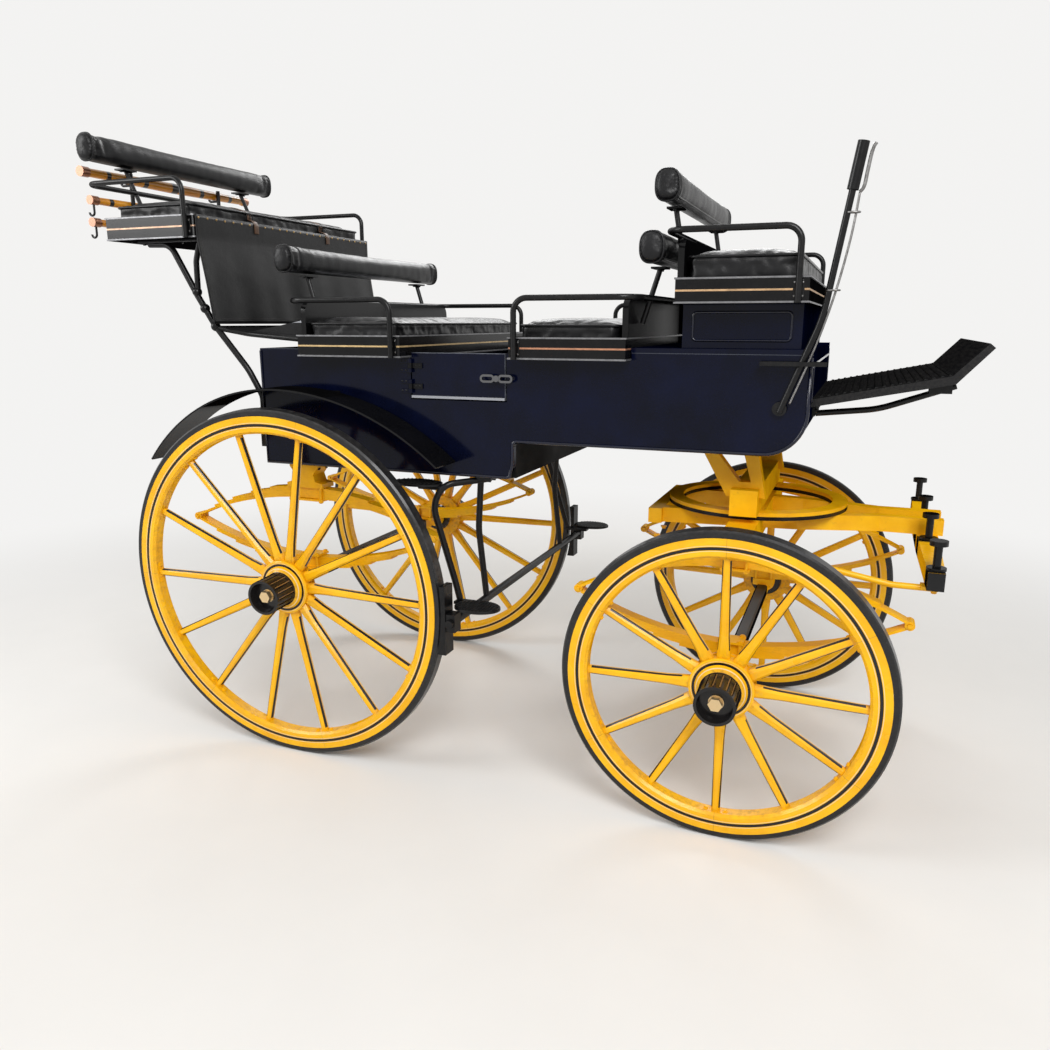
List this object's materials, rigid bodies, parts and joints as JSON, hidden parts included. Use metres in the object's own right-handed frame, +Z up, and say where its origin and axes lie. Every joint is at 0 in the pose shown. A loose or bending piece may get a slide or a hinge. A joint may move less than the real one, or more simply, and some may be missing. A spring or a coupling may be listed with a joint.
{
  "type": "horse-drawn passenger brake carriage",
  "caption": "Open horse-drawn brake carriage with crosswise leather seats on irons, side doors, full elliptic springs, spoked wheels and a steered fore-carriage",
  "frame": {"origin": "on the ground, under the middle of the carriage", "axes": "+X forward, +Y to the left, +Z up"},
  "size_m": [3.137, 1.527, 2.222],
  "materials": {
    "yellow_paint": "gloss chrome-yellow coach paint",
    "yellow_wood": "gloss chrome-yellow coach paint on wood, dark lined",
    "navy_paint": "gloss very dark navy coach paint on wood",
    "black_iron": "gloss black enamel on iron",
    "black_paint": "black paint on wood",
    "tyre_black": "worn black rubber",
    "leather_black": "black leather",
    "bar_wood": "yellow paint with brown ends"
  },
  "bodies": {
    "carriage_body": {"axle_rear": "yellow_paint", "springs_rear": "yellow_paint", "spring_blocks_rear": "yellow_wood", "body_side_right": "navy_paint", "body_side_left": "navy_paint", "body_rear_panel": "navy_paint", "body_floor": "black_paint", "seat_risers": "black_paint", "boot_panel": "navy_paint", "box_riser": "navy_paint", "seat_hind": "black_paint", "seat_middle": "black_paint", "seat_front": "black_paint", "seat_box": "black_paint", "cushion_hind": "leather_black", "cushion_middle": "leather_black", "cushion_front": "leather_black", "cushion_box": "leather_black", "bolster_hind": "leather_black", "bolster_middle": "leather_black", "bolster_front": "leather_black", "bolster_box": "leather_black", "rail_hind": "black_iron", "rail_middle": "black_iron", "rail_front": "black_iron", "rail_box": "black_iron", "hind_stays": "black_iron", "hind_footboard": "black_paint", "hind_fall": "leather_black", "wings": "black_iron", "steps": "black_iron", "brake_gear": "black_iron", "brake_blocks": "black_paint", "brake_lever": "black_iron", "lead_bars": "bar_wood", "bar_irons": "black_iron", "footboard": "black_paint", "footboard_irons": "black_iron", "upper_carriage": "yellow_wood"},
    "fore_carriage": {"axle_front": "yellow_paint", "springs_front": "yellow_paint", "turntable_ring": "black_iron", "fore_frame": "yellow_wood", "splinter_bar": "yellow_wood", "roller_bolts": "black_iron"},
    "door_right_body": {"door_right": "navy_paint"},
    "door_left_body": {"door_left": "navy_paint"},
    "wheel_rear_right": {"wheel_rear_right_rim": "yellow_wood", "wheel_rear_right_tyre": "tyre_black", "wheel_rear_right_hub": "yellow_paint"},
    "wheel_rear_left": {"wheel_rear_left_rim": "yellow_wood", "wheel_rear_left_tyre": "tyre_black", "wheel_rear_left_hub": "yellow_paint"},
    "wheel_front_right": {"wheel_front_right_rim": "yellow_wood", "wheel_front_right_tyre": "tyre_black", "wheel_front_right_hub": "yellow_paint"},
    "wheel_front_left": {"wheel_front_left_rim": "yellow_wood", "wheel_front_left_tyre": "tyre_black", "wheel_front_left_hub": "yellow_paint"}
  },
  "joints": [
    {"name": "steering", "type": "hinge", "parent": "carriage_body", "child": "fore_carriage", "pos_m": [0.93046, 0, 0.947], "axis": [0, 0, 1], "range_deg": [-60, 60]},
    {"name": "roll_rear_right", "type": "hinge", "parent": "carriage_body", "child": "wheel_rear_right", "pos_m": [-0.60754, -0.61961, 0.63565], "axis": [0, 0.9987, 0.0506], "continuous": true},
    {"name": "roll_rear_left", "type": "hinge", "parent": "carriage_body", "child": "wheel_rear_left", "pos_m": [-0.60754, 0.61961, 0.63565], "axis": [0, 0.9987, -0.0506], "continuous": true},
    {"name": "roll_front_right", "type": "hinge", "parent": "fore_carriage", "child": "wheel_front_right", "pos_m": [0.93046, -0.61254, 0.49346], "axis": [0, 0.9987, 0.0506], "continuous": true},
    {"name": "roll_front_left", "type": "hinge", "parent": "fore_carriage", "child": "wheel_front_left", "pos_m": [0.93046, 0.61254, 0.49346], "axis": [0, 0.9987, -0.0506], "continuous": true},
    {"name": "door_right_hinge", "type": "hinge", "parent": "carriage_body", "child": "door_right_body", "pos_m": [-0.14854, -0.508, 1.3765], "axis": [0, 0, -1], "range_deg": [0, 95]},
    {"name": "door_left_hinge", "type": "hinge", "parent": "carriage_body", "child": "door_left_body", "pos_m": [-0.14854, 0.508, 1.3765], "axis": [0, 0, 1], "range_deg": [0, 95]}
  ]
}
